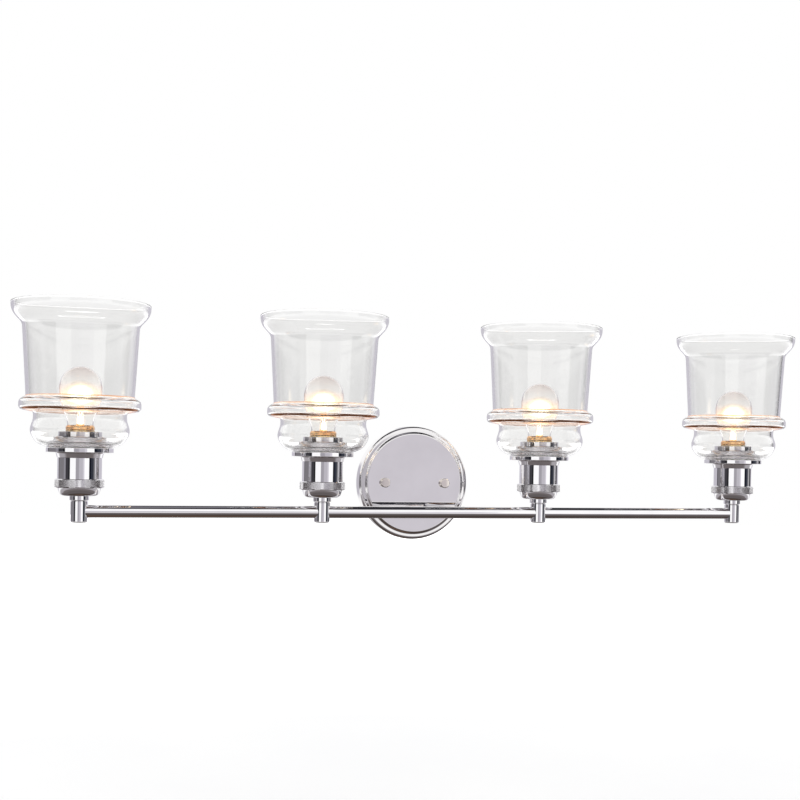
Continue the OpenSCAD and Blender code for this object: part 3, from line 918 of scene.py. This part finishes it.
def make_bulb(i):
    body, place = f"bulb_{i}", at_lamp(i)
    foot, wall, rim_low = 81.0, 0.8, 79.8
    centre = BULB_TOP - BULB_R
    skin = outline([
        (NECK_R, foot, 0), (NECK_R, foot + 7, 5), (BULB_R + 0.3, centre - 11, 9),
        (BULB_R + 0.3, centre + 1, 0)
    ])
    turns = [math.radians(a) for a in range(4, 90, 4)]
    crown = [(BULB_R * math.cos(a), centre + BULB_R * math.sin(a)) for a in turns]
    thin = BULB_R - wall
    lining = [(thin * math.cos(a), centre + thin * math.sin(a)) for a in reversed(turns)]
    globe = skin + crown + [(0, BULB_TOP), (0, BULB_TOP - wall)] + lining + inset(skin, wall)[::-1]
    make(f"bulb_{i}_globe", spin(globe, 128), BULB_GLASS, body,
         [f"bulb_glass_{i}"], place).visible_shadow = False

    root, crest, low = 12.3, 12.95, 62.0
    cap = spin(
        [(8.6, low - 0.6), (11.6, low), (root, low + 0.7)]
        + thread(root, crest, low + 0.9, rim_low - 1.2, THREAD_PITCH)
        + outline([
            (root, rim_low - 0.6, 0), (13.9, rim_low + 0.3, 0.3), (13.9, rim_low + 3.8, 1.0),
            (NECK_R + 0.6, rim_low + 4.4, 0.2), (NECK_R + FIT, rim_low + 4.2, 0),
            (NECK_R + FIT, rim_low + 1.1, 0), (root - 0.9, rim_low, 0), (root - 0.9, low + 1, 0),
            (8.6, low, 0)
        ], 4), ROUND
    )
    make(f"bulb_{i}_cap", cap, COPPER, body, [f"bulb_base_{i}"], place)
    foot_glass = spin(outline([
        (3.0, low - 3.0, 0), (5.0, low - 3.0, 0.4), (8.5, low - 0.5, 0.6), (8.5, low - 0.1, 0),
        (3.0, low - 0.1, 0)
    ], 4), 64)
    make(f"bulb_{i}_foot", foot_glass, FOOT_GLASS, body, (), place)
    tip_low = 56.0
    tip = spin(outline([
        (0, tip_low, 0), (2.6, tip_low, 1.2), (4.6, tip_low + 1.6, 0.9), (4.6, tip_low + 2.9, 0),
        (0, tip_low + 2.9, 0)
    ], 5), 48)
    make(f"bulb_{i}_contact", tip, SOLDER, f"bulb_rise_{i}", [f"bulb_tip_{i}"], place)


def make_filament(i):
    """A flared glass mount with two leads, a support and a bowed coil of coils."""
    body, place = f"bulb_{i}", at_lamp(i)
    low, top, spread = 70.0, 99.0, 1.4
    mount = spin(outline([
        (7.6, low, 0), (8.6, low, 0.3), (4.2, low + 9, 4), (2.6, top, 1), (0, top, 0),
        (0, low + 12, 0), (3.0, low + 9, 1.5)
    ], 6), 64)
    make(f"bulb_{i}_mount", mount, MOUNT_GLASS, body,
         [f"bulb_filament_{i}"], place).visible_shadow = False
    leads = [
        eased([(side * spread, 0, top - 6), (side * spread, 0, top + 1),
               (side * COIL_BOW, 0, COIL_HEIGHT - 1), (side * COIL_BOW, 0, COIL_HEIGHT + 0.6)], 1.2)
        for side in (-1, 1)
    ]
    leads.append(eased([(0, 0, top - 4), (0, 0, top + 1), (0, COIL_BOW, COIL_HEIGHT - 1),
                        (0, COIL_BOW, COIL_HEIGHT + 0.6)], 1.2))
    make(f"bulb_{i}_leads", tube(leads, 0.32, 3), STEEL, body, (), place)
    turns, coil_r, wire_r, per_turn = 46, 0.62, 0.16, 12
    coil = []
    for k in range(turns * per_turn + 1):
        a = 2 * math.pi * k / per_turn
        along = math.pi * k / (turns * per_turn)
        out = COIL_BOW + coil_r * math.cos(a)
        height = COIL_HEIGHT + coil_r * math.sin(a)
        coil.append((out * math.cos(along), out * math.sin(along), height))
    make(f"bulb_{i}_coil", tube([coil], wire_r, 2), FILAMENT, body, (), place)
    core, core_wide, core_high = COIL_HEIGHT + 2.4, 9.4, 7.0
    tilts = [math.pi * (a / 16 - 0.5) for a in range(1, 16)]
    for k, look in enumerate(GLARES):
        out = k / (GLARE_SHELLS - 1)
        wide, high = core_wide + 8.4 * out, core_high + 7.2 * out
        haze = [(0, core - high), (0, core + high)]
        haze[1:1] = [(wide * math.cos(a), core + high * math.sin(a)) for a in tilts]
        shell = make(f"bulb_{i}_glare_{k}", spin(haze, 64), look, body, (), place)
        shell.visible_shadow = shell.visible_diffuse = False


# ---- studio ----


def make_floor():
    """A wide pale floor below the light, brighter towards its edge so that it has no horizon."""
    drop, radius = 0.42, 9.0
    centre = middle("bar")
    rings, segments = 24, 96
    level = CAD_BOUNDS[0][2] - drop
    verts, faces = [], []
    for ring in range(rings, 0, -1):
        r = radius * ring / rings
        verts += [
            (centre.x + r * math.cos(a), centre.y + r * math.sin(a), level)
            for a in (2 * math.pi * k / segments for k in range(segments))
        ]
    verts.append((centre.x, centre.y, level))
    for j in range(rings - 1):
        for k in range(segments):
            n = (k + 1) % segments
            faces.append((j * segments + k, j * segments + n,
                          (j + 1) * segments + n, (j + 1) * segments + k))
    last = (rings - 1) * segments
    faces += [(last + k, last + (k + 1) % segments, len(verts) - 1) for k in range(segments)]
    mesh = bpy.data.meshes.new("floor")
    mesh.from_pydata(verts, [], faces)
    floor = loose("floor", mesh)
    look = Look("pale_floor", Roughness=0.9, Specular_IOR_Level=0.1)
    look.colour(look.noise(3, 4), (0.93, 0.93, 0.935), (0.95, 0.95, 0.95))
    gradient = look.node("ShaderNodeTexGradient", gradient_type="SPHERICAL")
    mapping = look.node("ShaderNodeMapping", Scale=(0.35, 0.35, 0.35))
    look.link(look.coords, mapping.inputs["Vector"])
    look.link(mapping.outputs["Vector"], gradient.inputs["Vector"])
    edge = look.ramp(gradient.outputs["Fac"], [(0.0, (1, 1, 1)), (0.6, (0.02, 0.02, 0.02))])
    look.link(edge, look.shader.inputs["Emission Color"])
    look.shader.inputs["Emission Strength"].default_value = 1.0
    mesh.materials.append(look.material)
    floor.visible_glossy = False


# Studio cards round the light, as (azimuth in degrees from the front towards +X, colour after it)
CARDS = [
    (-180, (0.60, 0.58, 0.64)), (-140, (0.012, 0.012, 0.015)), (-135, (0.22, 0.21, 0.225)),
    (-92, (0.30, 0.29, 0.32)), (-80, (0.05, 0.048, 0.055)), (-62, (0.015, 0.015, 0.018)),
    (-54, (1.1, 1.1, 1.1)), (-23, (0.40, 0.385, 0.42)), (-6, (0.56, 0.54, 0.585)),
    (14, (0.72, 0.695, 0.75)), (22, (1.15, 1.15, 1.15)), (47, (0.008, 0.010, 0.018)),
    (58, (0.04, 0.045, 0.06)), (74, (0.20, 0.195, 0.21)), (84, (0.85, 0.85, 0.87)),
    (88, (0.02, 0.02, 0.025)), (92, (0.50, 0.49, 0.52)), (96, (0.008, 0.008, 0.010)),
    (114, (0.62, 0.60, 0.66)),
]
CARDS_SPLIT = 22  # one colour ramp can't hold all the cards, so a second takes over here
# The same by elevation, from straight down to straight up
TIERS = [
    (-90, (0.13, 0.085, 0.06)), (-76, (0.07, 0.055, 0.048)), (-54, (0.13, 0.115, 0.115)),
    (-34, (0.17, 0.15, 0.15)), (-26, (0.42, 0.40, 0.42)), (-16, (1.1, 1.1, 1.1)),
    (48, (0.10, 0.095, 0.105)), (58, (0.03, 0.03, 0.035)), (76, (0.24, 0.23, 0.26)),
    (84, (0.40, 0.38, 0.42)),
]


def make_world():
    """White to the eye and to soft light; what shiny surfaces reflect is a ring of cards."""
    world = bpy.data.worlds.new("studio")
    bpy.context.scene.world = world
    world.use_nodes = True
    tree = world.node_tree
    nodes, links = tree.nodes, tree.links
    backdrop = nodes["Background"]

    def math_node(operation, a, b=None):
        made = nodes.new("ShaderNodeMath")
        made.operation = operation
        for socket, value in zip(made.inputs, (a, b)):
            if isinstance(value, (int, float)):
                socket.default_value = value
            elif value is not None:
                links.new(value, socket)
        return made.outputs[0]

    def cards(angle, low, span, stops, soft):
        """A ramp over an angle in radians; each stop's colour holds up to the next one."""
        degrees = math_node("MULTIPLY", angle, 180 / math.pi)
        share = math_node("DIVIDE", math_node("SUBTRACT", degrees, low), span)
        ramp = nodes.new("ShaderNodeValToRGB")
        elements = ramp.color_ramp.elements
        wanted = []
        for k, (start, colour) in enumerate(stops):
            wanted.append(((start - low + (soft if k else 0)) / span, colour))
            if k + 1 < len(stops):
                wanted.append(((stops[k + 1][0] - low - soft) / span, colour))
        while len(elements) < min(len(wanted), 32):
            elements.new(0.5)
        for element, (position, colour) in zip(elements, wanted):
            element.position = min(max(position, 0.0), 1.0)
            element.color = (*colour, 1)
        links.new(share, ramp.inputs["Fac"])
        return ramp.outputs["Color"]

    def mix(factor, a, b):
        made = nodes.new("ShaderNodeMix")
        made.data_type = "RGBA"
        links.new(factor, made.inputs["Factor"])
        for socket, value in ((made.inputs["A"], a), (made.inputs["B"], b)):
            if isinstance(value, tuple):
                socket.default_value = (*value, 1)
            else:
                links.new(value, socket)
        return made.outputs["Result"]

    way = nodes.new("ShaderNodeTexCoord").outputs["Generated"]
    split = nodes.new("ShaderNodeSeparateXYZ")
    links.new(way, split.inputs[0])
    towards = math_node("MULTIPLY", split.outputs["Y"], -1.0)
    azimuth = math_node("ARCTAN2", split.outputs["X"], towards)
    elevation = math_node("ARCSINE", split.outputs["Z"])
    left = [card for card in CARDS if card[0] <= CARDS_SPLIT]
    right = [card for card in CARDS if card[0] >= CARDS_SPLIT]
    left_side, right_side = (cards(azimuth, -180, 360, half, 0.6) for half in (left, right))
    past_split = math_node("GREATER_THAN", azimuth, math.radians(CARDS_SPLIT))
    ring = mix(past_split, left_side, right_side)
    tiers = cards(elevation, -90, 180, TIERS, 1.5)
    tilt = math_node("ABSOLUTE", math_node("MULTIPLY", elevation, 180 / math.pi))
    away = nodes.new("ShaderNodeMapRange")
    away.interpolation_type = "SMOOTHSTEP"
    away.inputs["From Min"].default_value = 7.0
    away.inputs["From Max"].default_value = 11.0
    links.new(tilt, away.inputs["Value"])
    studio = mix(away.outputs["Result"], ring, tiers)
    path = nodes.new("ShaderNodeLightPath")
    mirrored = math_node("GREATER_THAN", path.outputs["Glossy Depth"], 0.5)
    scattered = math_node("GREATER_THAN", path.outputs["Diffuse Depth"], 0.5)
    plain = mix(scattered, (1.0, 1.0, 1.0), (1.06, 1.06, 1.06))
    links.new(mix(mirrored, plain, studio), backdrop.inputs["Color"])
    backdrop.inputs["Strength"].default_value = 1.0


def make_camera():
    """Stands left of the light and looks along it, as the light is usually shown."""
    focal, width = 1243.0, 800.0
    centre_x, centre_y = 414.1, 472.9
    yaw, pitch, roll = (math.radians(a) for a in (17.94, -0.77, 1.02))
    place = (-0.431, -1.345, 0.030)
    data = bpy.data.cameras.new("camera")
    data.sensor_width = 36.0
    data.lens = data.sensor_width * focal / width
    data.shift_x = (width / 2 - centre_x) / width
    data.shift_y = (centre_y - width / 2) / width
    forward = Vector((math.sin(yaw), math.cos(yaw), 0))
    right = Vector((math.cos(yaw), -math.sin(yaw), 0))
    up = Vector((0, 0, 1))
    forward, up = (forward * math.cos(pitch) + up * math.sin(pitch),
                   up * math.cos(pitch) - forward * math.sin(pitch))
    right, up = (right * math.cos(roll) + up * math.sin(roll),
                 up * math.cos(roll) - right * math.sin(roll))
    camera = loose("camera", data)
    turn = Matrix((right, up, -forward)).transposed().to_4x4()
    camera.matrix_world = Matrix.Translation(place) @ turn
    bpy.context.scene.camera = camera


def set_rendering():
    scene = bpy.context.scene
    scene.view_settings.view_transform = "Standard"
    scene.view_settings.look = "None"
    scene.cycles.use_denoising = True
    scene.cycles.max_bounces = 24
    scene.cycles.transmission_bounces = 20
    scene.cycles.transparent_max_bounces = 32
    scene.cycles.glossy_bounces = 8
    scene.cycles.caustics_refractive = False
    scene.cycles.caustics_reflective = False


make_camera()
make_world()
make_floor()
set_rendering()
make_bar()
make_arms()
make_canopy()
make_cap_nuts()
make_strap()
make_wiring()
for number in LAMPS:
    make_stem(number)
    make_cup(number)
    make_seat(number)
    make_ring(number)
    make_holder(number)
    make_shade(number)
    make_bulb(number)
    make_filament(number)
